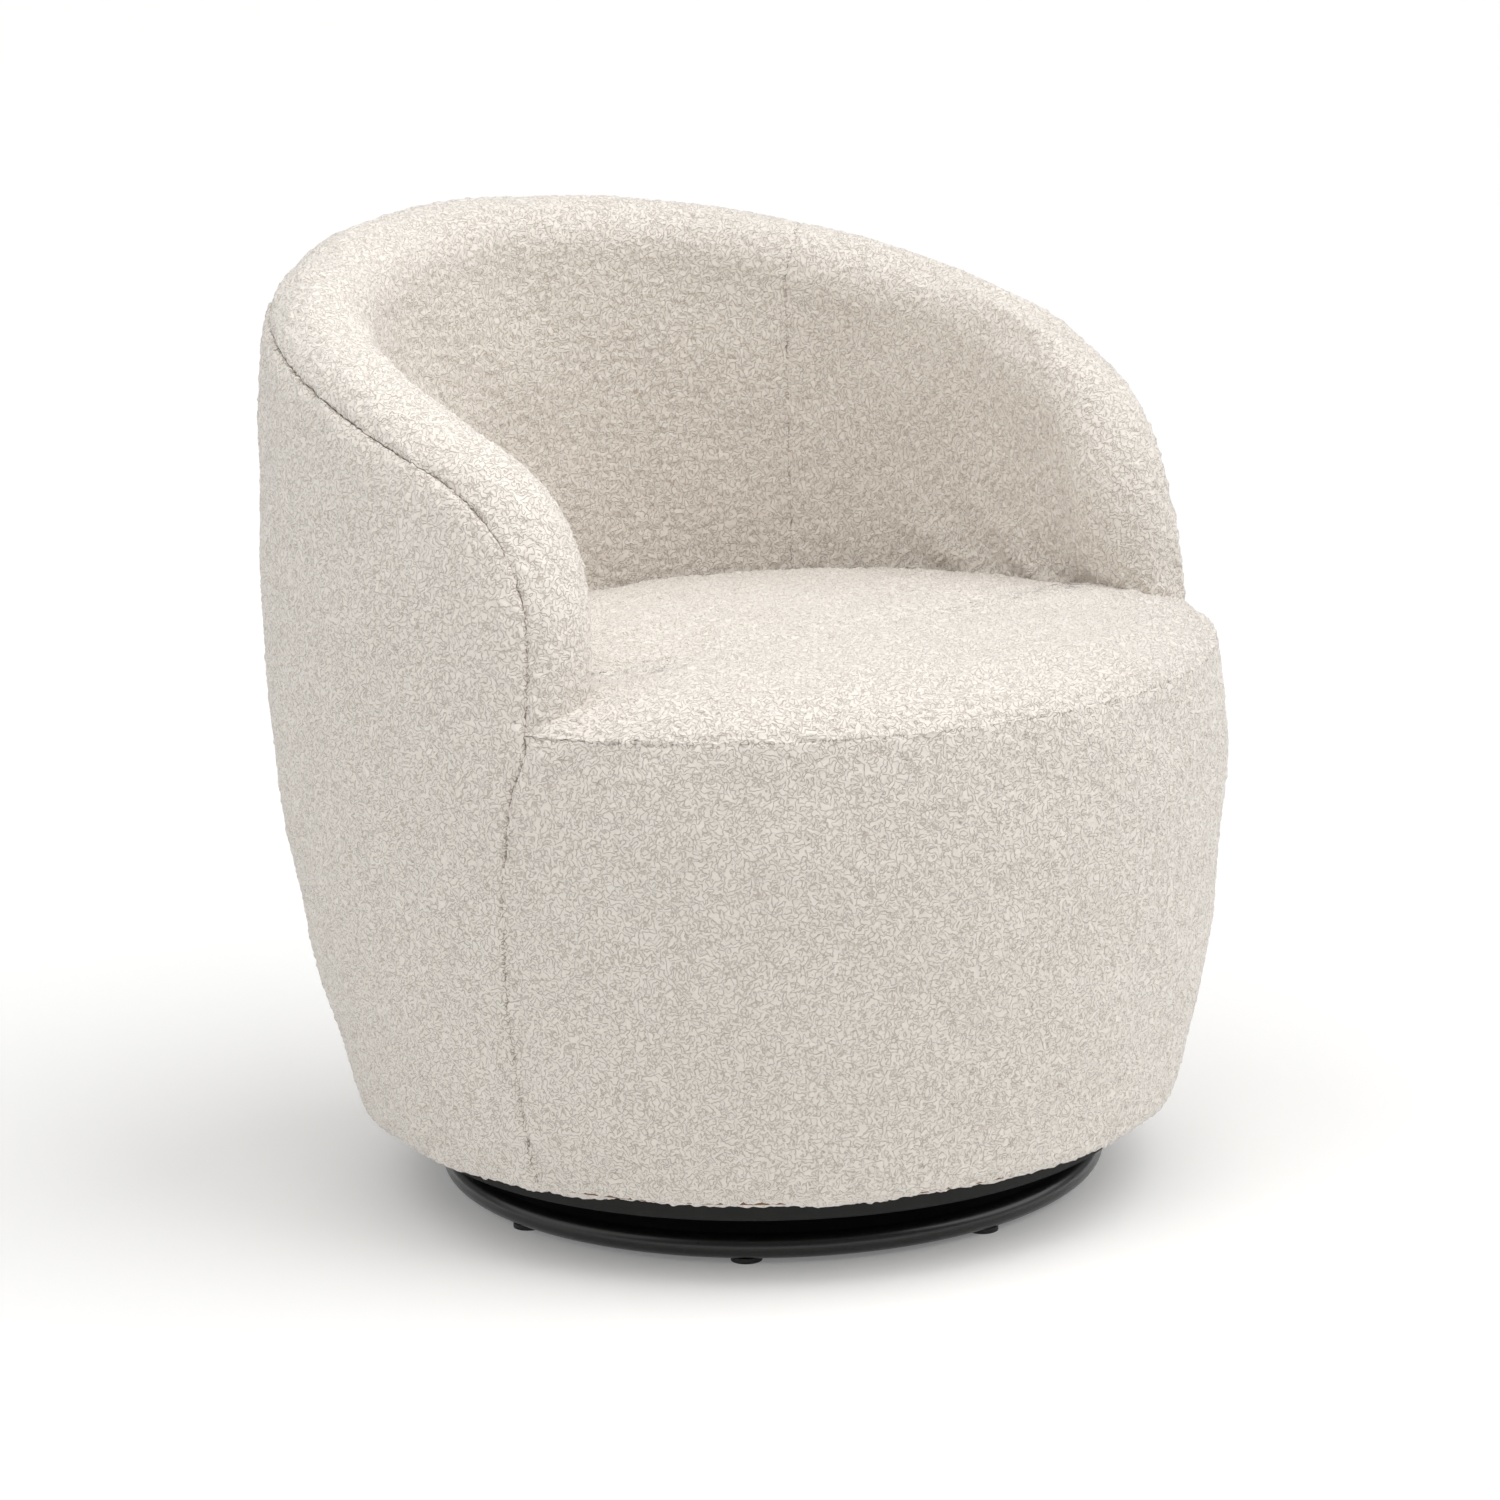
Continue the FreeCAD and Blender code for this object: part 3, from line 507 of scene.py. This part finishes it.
def creased(points):
    """Draws points in towards the arms' rounded fronts along the fold where the seat meets them: a bell
    curve about a height that falls from the inner side round to the outer."""
    axis = place_at(math.radians(arm_angle), fold_axis_level, roll_radius)[:2]
    outward = (axis - (0.0, swivel_y)) / np.linalg.norm(axis - (0.0, swivel_y))
    off = np.stack([np.abs(points[..., 0]), points[..., 1]], -1) - axis
    distance = np.maximum(np.linalg.norm(off, axis=-1), 1e-6)
    facing = np.clip((off @ outward) / distance, -1.0, 1.0)
    turned = np.degrees(np.arccos(facing))
    level = fold_outer + (fold_inner - fold_outer) * (turned - fold_first) / fold_span
    share = (np.clip((fold_facing - facing) / facing_fade, 0.0, 1.0)
             * np.clip((fold_reach - distance) / reach_fade, 0.0, 1.0))
    pull = fold_depth * share * np.exp(-((points[..., 2] - level) / fold_width) ** 2) / distance
    side = np.where(points[..., 0] < 0.0, -1.0, 1.0)
    return points - np.stack([pull * off[..., 0] * side, pull * off[..., 1], 0.0 * pull], -1)


# The cloth's relief. Fields: wave length, number of cosines and seed; then how far each one lifts or
# moves the cloth. Seams: depth and fade of the two parts of a furrow, and the fade of its painted shade.
loop_field, clump_field = (5.0, 44, 11), (13.0, 20, 12)
drape_field, pucker_field = (90.0, 12, 13), (20.0, 16, 14)
wander_length, wander_count, wander_seed = 7.5, 14, 15
loop_lift, clump_lift, drape_lift, wander_reach = 0.36, 0.28, 0.6, 0.4
furrow_parts, seam_shade_fade, pucker_share = ((1.3, 1.8), (2.0, 6.5)), 1.5, 0.3
loop_sharpness = 1.5
drape_from, calm_from, calm_least = 20.0, 3.0, 0.3      # distances from a seam at which these are whole


def relief(base, across, up, wide, high, seams):
    """Height of the cloth over a surface, its sideways wander and a level of painted shade: loops and
    clumps, calmer at the edges, a slow drape, and a puckered furrow along the seams, with painted shade."""
    from_edge = [np.minimum(share, 1.0 - share) * size for share, size in ((across, wide), (up, high))]
    nearest = np.minimum(from_edge[0][:, None], from_edge[1][None, :])
    pucker = waves(base, *pucker_field)
    deep = [strength * sum(depth * np.exp(-gap / fade) for depth, fade in furrow_parts)
            for gap, strength in zip(from_edge, seams)]
    # Painted shade along the seams: the colour darkens towards each seam, where the furrow's shade
    # falls.
    seam_shade_parts = [strength * np.exp(-gap / seam_shade_fade) for gap, strength in zip(from_edge, seams)]
    furrow = np.maximum(deep[0][:, None], deep[1][None, :]) * (1.0 + pucker_share * pucker)
    seam_shade = np.maximum(seam_shade_parts[0][:, None], seam_shade_parts[1][None, :])
    loops = np.tanh(loop_sharpness * waves(base, *loop_field))
    clumps = waves(base, *clump_field)
    drape = waves(base, *drape_field) * np.clip(nearest / drape_from, 0.0, 1.0)
    calm = calm_least + (1.0 - calm_least) * np.clip(nearest / calm_from, 0.0, 1.0)
    height = (loop_lift * loops + clump_lift * clumps) * calm + drape_lift * drape - furrow
    wander = [waves(base, wander_length, wander_count, wander_seed + axis) for axis in range(3)]
    # The last value is painted shade and light for the colour: lighter loop tops, darkest along the
    # seams.
    return height, np.stack(wander, -1) * wander_reach, 0.7 + 0.3 * loops * calm - 1.5 * seam_shade


wall_end = 0.75                 # the walls' own points stop at this share of the pad's thickness


def closed_pad(name, top, base, outward, inner, thick, side):
    """Mesh of a pad: the outer sheet, walls that go down its seams, and a coarse inner sheet whose
    border points each take a fan of the walls' points."""
    rows, columns = top.shape[:2]
    edge = border(rows, columns)
    flat_base, flat_out = base.reshape(-1, 3)[edge], outward.reshape(-1, 3)[edge]
    walls = [flat_base - flat_out * depth for depth in (wall_start, wall_end * thick)]
    count = rows * columns
    rounds = [edge, count + np.arange(len(edge)), count + len(edge) + np.arange(len(edge))]
    quads = [grid_quads(rows, columns)]
    for upper, lower in zip(rounds, rounds[1:]):
        quads.append(np.stack([np.roll(upper, -1), upper, lower, np.roll(lower, -1)], -1))
    first = count + 2 * len(edge)
    last = rounds[-1]
    small = border(*inner.shape[:2], first)
    quads.append(grid_quads(*inner.shape[:2], first)[:, ::-1])
    owner = np.repeat(small, coarse)
    owner[np.arange(len(last)) % coarse >= coarse // 2] = np.repeat(np.roll(small, -1), coarse // 2)
    fans = np.stack([np.roll(last, -1), last, owner], -1)
    middles = np.stack([last[coarse // 2::coarse], small, np.roll(small, -1)], -1)
    quads, triangles = np.concatenate(quads), np.concatenate([fans, middles])
    if side < 0:
        quads, triangles = quads[:, ::-1], triangles[:, ::-1]
    points = np.concatenate([top.reshape(-1, 3), *walls, inner.reshape(-1, 3)])
    return new_mesh(name, points, quads, triangles)


def pad_of(name, surface, wide, high, thick, side, seams):
    """A padded piece. Its outer sheet is surface(a, b) over a wide by high panel, swollen by its
    wadding, drawn down into a furrow along its seams and covered in loops."""
    across, up = spread(wide), spread(high)
    base = creased(surface(*np.meshgrid(across, up, indexing="ij")))
    outward = side * normals(base)
    rows, columns = base.shape[:2]
    inner = (base - thick * outward)[::coarse, ::coarse]
    moved = swell(base[::coarse, ::coarse], inner)
    lifted = np.einsum("ia,jb,abc->ijc", cubic_steps(rows), cubic_steps(columns), moved)
    height, wander, painted_shade_level = relief(base, across, up, wide, high, seams)
    top = base + lifted + wander + outward * height[..., None]
    piece = closed_pad(name, top, base, outward, inner, thick, side)
    # The cloth's points carry painted shade and light for its colour: lighter loop tops, darker valleys
    # and seams.
    painted_loop_and_seam_shade = np.zeros(len(piece.data.vertices), np.float32)
    painted_loop_and_seam_shade[:rows * columns] = painted_shade_level.ravel()
    piece.data.attributes.new("painted_loop_and_seam_shade", "FLOAT", "POINT").data.foreach_set("value", painted_loop_and_seam_shade)
    piece.data.materials.append(boucle)
    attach(piece, "seat_body")
    return piece


# Boucle: wool-blend yarn drawn into dense curled loops about 3 mm thick. Its colour holds painted light
# and shade: lighter on the loops' tops, greyer in the valleys between them, darkest along the seams;
# fine fibre gives a soft edge.
boucle, tree, shader, place = start_material("woven_wool_boucle")
# Painted shade read from the points: lighter on the loops' tops, darker between them and along the
# seams.
height = add(tree, "ShaderNodeAttribute", {"attribute_name": "painted_loop_and_seam_shade"}).outputs["Fac"]
shake = add(tree, "ShaderNodeTexNoise", inputs={"Scale": per_mm(5.0), "Detail": 1.0},
            links={"Vector": place})
bent = add(tree, "ShaderNodeVectorMath", {"operation": "MULTIPLY_ADD"}, {1: (0.005, 0.005, 0.005)},
           {0: shake.outputs["Color"], 2: place})
curl = add(tree, "ShaderNodeTexNoise", inputs={"Scale": per_mm(3.1), "Detail": 0.0},
           links={"Vector": bent.outputs["Vector"]})
centred = add(tree, "ShaderNodeMath", {"operation": "SUBTRACT"}, {1: 0.5}, {0: curl.outputs["Fac"]})
folded = add(tree, "ShaderNodeMath", {"operation": "ABSOLUTE"}, links={0: centred.outputs["Value"]})
yarn = add(tree, "ShaderNodeMapRange", {"interpolation_type": "SMOOTHSTEP"}, {"From Max": 0.1},
           {"Value": folded.outputs["Value"]})
fuzz = add(tree, "ShaderNodeTexNoise", inputs={"Scale": per_mm(1.1), "Detail": 4.0},
           links={"Vector": place})
part = add(tree, "ShaderNodeMath", {"operation": "MULTIPLY"}, {1: 0.25}, {0: height})
blended = add(tree, "ShaderNodeMath", {"operation": "MULTIPLY_ADD"}, {1: 0.75},
              {0: yarn.outputs["Result"], 2: part.outputs["Value"]})
# Painted shade and light: the ramp greys the valleys between strands and lightens the loops' tops; its
# darkest colour is painted shade along the seams.
shade = add(tree, "ShaderNodeValToRGB", links={"Fac": blended.outputs["Value"]})
shade.color_ramp.elements[0].position = 0.0
shade.color_ramp.elements[0].color = linear("#a0988c")
shade.color_ramp.elements[1].position = 0.7
shade.color_ramp.elements[1].color = linear("#ece5dc")
shade.color_ramp.elements.new(0.1).color = linear("#c8bdb1")
tree.links.new(shade.outputs["Color"], shader.inputs["Base Color"])
deep = add(tree, "ShaderNodeBump", inputs={"Strength": 0.8, "Distance": 0.0008},
           links={"Height": yarn.outputs["Result"]})
fibre = add(tree, "ShaderNodeBump", inputs={"Strength": 0.5, "Distance": 0.0003},
            links={"Height": fuzz.outputs["Fac"], "Normal": deep.outputs["Normal"]})
tree.links.new(fibre.outputs["Normal"], shader.inputs["Normal"])
shader.inputs["Roughness"].default_value = 0.95
shader.inputs["Specular IOR Level"].default_value = 0.2
shader.inputs["Sheen Weight"].default_value = 0.5
shader.inputs["Sheen Roughness"].default_value = 0.5

foot_end = arm_end - 100.0      # the last place of an inside arm's foot, short of the arm's front
back_k = (back_seam - seam_room) / bend_start


def inside_back_surface(a, b):
    """Between the two back seams, k evenly spread."""
    return inside_surface(back_k * (2.0 * a - 1.0), b, back_seam, foot_end)


inside_thick = 20.0
back_high = roll_radius * (math.pi - roll_seam) + crest(0.0) - wall_foot
inside_back = pad_of("inside_back", inside_back_surface, 2.0 * back_seam, float(back_high),
                     inside_thick, -1, (0.6, 1.0))
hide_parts("inside_back_cover", "inside_back_foam")


# Inside arms --------------------------------------------------------------------------------------
# The same boucle over foam, from the back seam along the arm, round its rounded front and down to
# behind the seat. One panel each side, sewn to the inside back and to the outside arm.

arm_rim = float(rim_length(3.0) - rim_length(back_k))
rim_steps = rim_length(rim_k)


def inside_arm_surface(a, b):
    """The rim from the back seam to the arm's foot, spread by its length."""
    start = float(rim_length((back_seam + seam_room) / bend_start))
    k = np.interp(start + a * (rim_steps[-1] - start), rim_steps, rim_k)
    return inside_surface(k, b, back_seam, foot_end)


def other_side(surface):
    """The same surface on the chair's right."""
    return lambda a, b: surface(a, b) * (-1.0, 1.0, 1.0)


arm_wide = 1.12 * arm_rim       # the roll's outer side is longer than its centre line round the bend
arm_high = roll_radius * (math.pi - roll_seam) + float(crest(back_seam)) - wall_foot
for name, surface, side in (("left", inside_arm_surface, -1),
                            ("right", other_side(inside_arm_surface), 1)):
    inside_arm = pad_of("inside_arm_" + name, surface, arm_wide, arm_high, inside_thick, side,
                        (0.6, 1.0))
    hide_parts("inside_arm_cover_" + name, "inside_arm_foam_" + name)


# Outside back -------------------------------------------------------------------------------------
# Boucle over thin wadding on the bent panel, from the roll's seam down to the hem, where it turns
# in under the body and is stapled. The edge of the board shows below it.

outside_thick = 9.0
turn_under = 14.0               # how far the cloth turns in under the body
hem_arc = hem_round * math.pi / 2
hem_top = turn_under + hem_arc
roll_reach = roll_radius * math.sin(roll_seam) - seam_room


def hem_level(s):
    """Height and inset at a length s from the cloth's stapled edge: flat, a quarter round, then
    straight up."""
    turned = np.clip((s - turn_under) / hem_round, 0.0, math.pi / 2)
    z = body_bottom + hem_round - hem_round * np.cos(turned) + np.maximum(s - hem_top, 0.0)
    return z, np.maximum(turn_under - s, 0.0)


def beyond_rim(u, z):
    """Distance of an unrolled point outside the roll's centre line, negative inside it."""
    across = u - (arm_end - bend_radius)
    on_arc = np.arctan2(across, z - bend_z) > bend_slope
    off_crest = (z - crest(u)) * np.cos(crest_slope(np.maximum(u, 0.0)))
    above = np.where(on_arc, np.hypot(across, z - bend_z) - bend_radius, off_crest)
    return np.where(z <= bend_z, u - arm_end, above)


roll_fade = 30.0                # the rounding over the roll comes in over this height


def outside_surface(u, s):
    """Outside at an unrolled distance and a length up from the stapled edge; it rounds over the roll."""
    z, under = hem_level(s)
    reach = np.maximum(beyond_rim(np.abs(u), z), 0.0) * np.clip((z - wall_foot) / roll_fade, 0.0, 1.0)
    inset = roll_radius - np.sqrt(roll_radius ** 2 - np.minimum(reach, roll_radius - 1.0) ** 2)
    return place_at(u / unroll_radius, z, inset + under)


def roll_edge(k):
    """Unrolled place of the roll's seam at k, the height as a length up from the stapled edge."""
    u, z, out_u, out_z = rim(k)
    return u + roll_reach * out_u, z + roll_reach * out_z - (body_bottom + hem_round) + hem_top


def outside_back_surface(a, b):
    """Straight up between the two back seams, to the roll's seam."""
    u = (back_seam - seam_room) * (2.0 * a - 1.0)
    top = roll_edge(np.abs(u) / bend_start)[1]
    return outside_surface(u, b * top)


back_arc = 2.0 * back_seam_angle * back_reach
outside_back = pad_of("outside_back", outside_back_surface, back_arc, float(roll_edge(0.0)[1]),
                      outside_thick, -1, (1.0, 1.0))
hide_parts("outside_back_cover", "outer_wadding_back")


# Outside arms -------------------------------------------------------------------------------------
# The same boucle and wadding, between the back seam, the roll's seam and the front panel's seam,
# which bends forward under the arm's rounded front.

front_seam_low, front_seam_sweep, sweep_start, sweep_height = 107.3, 3.6, 150.0, 255.0
nose_low, nose_high = 380.0, 410.0   # between these the front seam passes over to the roll's seam


def front_seam(z):
    """Unrolled place of the seam between arm and front: it sweeps forward by a square, then meets the
    roll's seam."""
    sweep = front_seam_low + front_seam_sweep * (np.maximum(z - sweep_start, 0.0) / sweep_height) ** 2
    share = np.clip((z - nose_low) / (nose_high - nose_low), 0.0, 1.0)
    return (1.0 - share) * np.radians(sweep) * unroll_radius + share * (arm_end + roll_reach)


def by_length(line, share):
    """Points at shares of the length of a line of points."""
    steps = np.concatenate([[0.0], np.cumsum(np.hypot(*np.diff(line, axis=1)))])
    return np.stack([np.interp(share * steps[-1], steps, row) for row in line])


corner_k = 1.5                  # the panel's upper front corner is at the middle of the bend
edge_points = 200


def outside_arm_surface(a, b):
    """Blend of the panel's four edges: what runs across plus what runs up, less their corners."""
    start = back_seam + seam_room
    top = np.stack(roll_edge(np.linspace(start / bend_start, corner_k, edge_points)))
    low_s = np.linspace(0.0, nose_high - (body_bottom + hem_round) + hem_top, edge_points)
    low_front = np.stack([front_seam(hem_level(low_s)[0]) - seam_room, low_s])
    nose_k = 3.0 - (nose_high - wall_foot) / (bend_z - wall_foot)
    high_front = np.stack(roll_edge(np.linspace(nose_k, corner_k, edge_points)))
    right = np.concatenate([low_front, high_front[:, 1:]], axis=1)
    left = np.stack([np.full(2, start), np.array([0.0, top[1, 0]])])
    bottom = np.stack([np.array([start, right[0, 0]]), np.zeros(2)])
    ends = [by_length(bottom, a), by_length(top, a), by_length(left, b), by_length(right, b)]
    corners = [line[:, end, None, None] for line, end in ((bottom, 0), (bottom, 1), (top, 0), (top, -1))]
    shares = [(1 - a) * (1 - b), a * (1 - b), (1 - a) * b, a * b]
    u, s = ((1 - b) * ends[0] + b * ends[1] + (1 - a) * ends[2] + a * ends[3]
            - sum(share * corner for share, corner in zip(shares, corners)))
    return outside_surface(u, s)


arm_radius = 372.0              # the outside's radius along the arms, for the panel's width
side_arc = (arm_end - back_seam) / unroll_radius * arm_radius
side_high = float(roll_edge(back_seam / bend_start)[1])
for name, surface, side in (("left", outside_arm_surface, -1),
                            ("right", other_side(outside_arm_surface), 1)):
    outside_arm = pad_of("outside_arm_" + name, surface, side_arc, side_high, outside_thick, side,
                         (1.0, 1.0))
    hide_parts("outside_arm_cover_" + name, "outer_wadding_" + name)


# Front panel --------------------------------------------------------------------------------------
# Boucle over wadding, round the front from arm to arm, from the seat's seam down to the hem.

seat_seam = 422.0               # height of the seam between seat and front
seat_apex = 447.0
shoulder_wide, shoulder_high = 36.0, 45.0   # the quarter ellipse between front and crown


def front_surface(a, b):
    """Between the arms' seams; near the top it starts the seat's quarter ellipse."""
    z, under = hem_level(b * (seat_seam - seam_room - (body_bottom + hem_round) + hem_top))
    edge = (front_seam(z) + seam_room) / unroll_radius
    rise = np.clip((z - seat_apex + shoulder_high) / shoulder_high, 0.0, 1.0)
    inset = under + shoulder_wide * (1.0 - np.sqrt(1.0 - rise ** 2))
    return place_at(edge + a * 2.0 * (math.pi - edge), z, inset)


front_angle, front_radius = math.radians(140.0), 358.0
front_arc = front_angle * front_radius
front_high = seat_seam - body_bottom - hem_round + hem_top
front = pad_of("front_panel", front_surface, front_arc, front_high, outside_thick, -1, (1.0, 0.7))
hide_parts("front_cover", "front_wadding")


# Seat ---------------------------------------------------------------------------------------------
# A tight crowned seat: boucle over a thick foam block on springs, sewn to the front panel and
# tucked down behind along the arms and back. It rises a little towards the front.

seat_centre = np.array([0.0, -130.0 + swivel_y])
wall_clear = 90.0               # the seat's tucked edge, inset from the body's outer surface
tuck_end, corner_start = 105.6, 110.4   # between these angles, at the arm's front, the edge comes out
tuck_wide, tuck_high = 13.0, 15.0       # the quarter ellipse where the seat tucks in
square_angles, seat_angles = (0, 45, 135, 180), (0, 42, 109, 180)   # where the square's corners go
crown_high, crown_deep, crown_wide = 448.0, 6300.0, 9600.0
seat_wide, seat_long, seat_thick = 800.0, 600.0, 16.0
seam_rise = (seat_seam - seat_apex + shoulder_high) / shoulder_high


def seat_top(x, y):
    """Height of the crown: it falls by the square of the distance, less across than from front to
    back."""
    return crown_high - (y - seat_centre[1]) ** 2 / crown_deep - x ** 2 / crown_wide


def seat_surface(a, b):
    """A square mapped onto the seat's outline; by length from the edge it follows a quarter ellipse,
    wide at the front and small where it tucks in, then the crown."""
    x, y = 2.0 * a - 1.0, 2.0 * b - 1.0
    disc_x, disc_y = x * np.sqrt(1.0 - y ** 2 / 2), y * np.sqrt(1.0 - x ** 2 / 2)
    rho = np.hypot(disc_x, disc_y)
    angle = np.degrees(np.arctan2(disc_x, disc_y))
    phi = np.radians(np.sign(angle) * np.interp(np.abs(angle), square_angles, seat_angles))
    outward = np.clip((np.degrees(np.abs(phi)) - tuck_end) / (corner_start - tuck_end), 0.0, 1.0)
    front_inset = shoulder_wide * (1.0 - math.sqrt(1.0 - seam_rise ** 2))
    inset = wall_clear + outward * (front_inset - wall_clear)
    edge = place_at(phi, np.full_like(phi, seat_seam), inset)[..., :2]
    spoke = edge - seat_centre
    radius = np.linalg.norm(spoke, axis=-1)
    length = (1.0 - rho) * radius
    profiles = []
    ellipses = ((shoulder_wide, shoulder_high, math.asin(seam_rise)), (tuck_wide, tuck_high, 0.0))
    for wide, high, first in ellipses:
        bend = np.linspace(first, math.pi / 2, 60)
        run, rise = wide * (math.cos(first) - np.cos(bend)), high * (np.sin(bend) - math.sin(first))
        steps = np.concatenate([[0.0], np.cumsum(np.hypot(np.diff(run), np.diff(rise)))])
        flat = np.maximum(length - steps[-1], 0.0) * (radius - run[-1]) / (radius - steps[-1])
        fall = np.interp(length, steps, rise[-1] - rise)
        profiles.append((np.interp(length, steps, run) + flat, fall, rise[-1]))
    in_front = 3 * outward ** 2 - 2 * outward ** 3
    along = in_front * profiles[0][0] + (1.0 - in_front) * profiles[1][0]
    point = seat_centre + spoke * ((radius - along) / radius)[..., None]
    top = seat_top(point[..., 0], point[..., 1])
    drop = (in_front * profiles[0][1] / profiles[0][2] * (top - seat_seam - seam_room)
            + (1.0 - in_front) * profiles[1][1])
    return np.concatenate([point, (top - drop)[..., None]], -1)


seat = pad_of("seat", seat_surface, seat_wide, seat_long, seat_thick, 1, (0.7, 0.7))
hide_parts("seat_cover", "seat_foam")
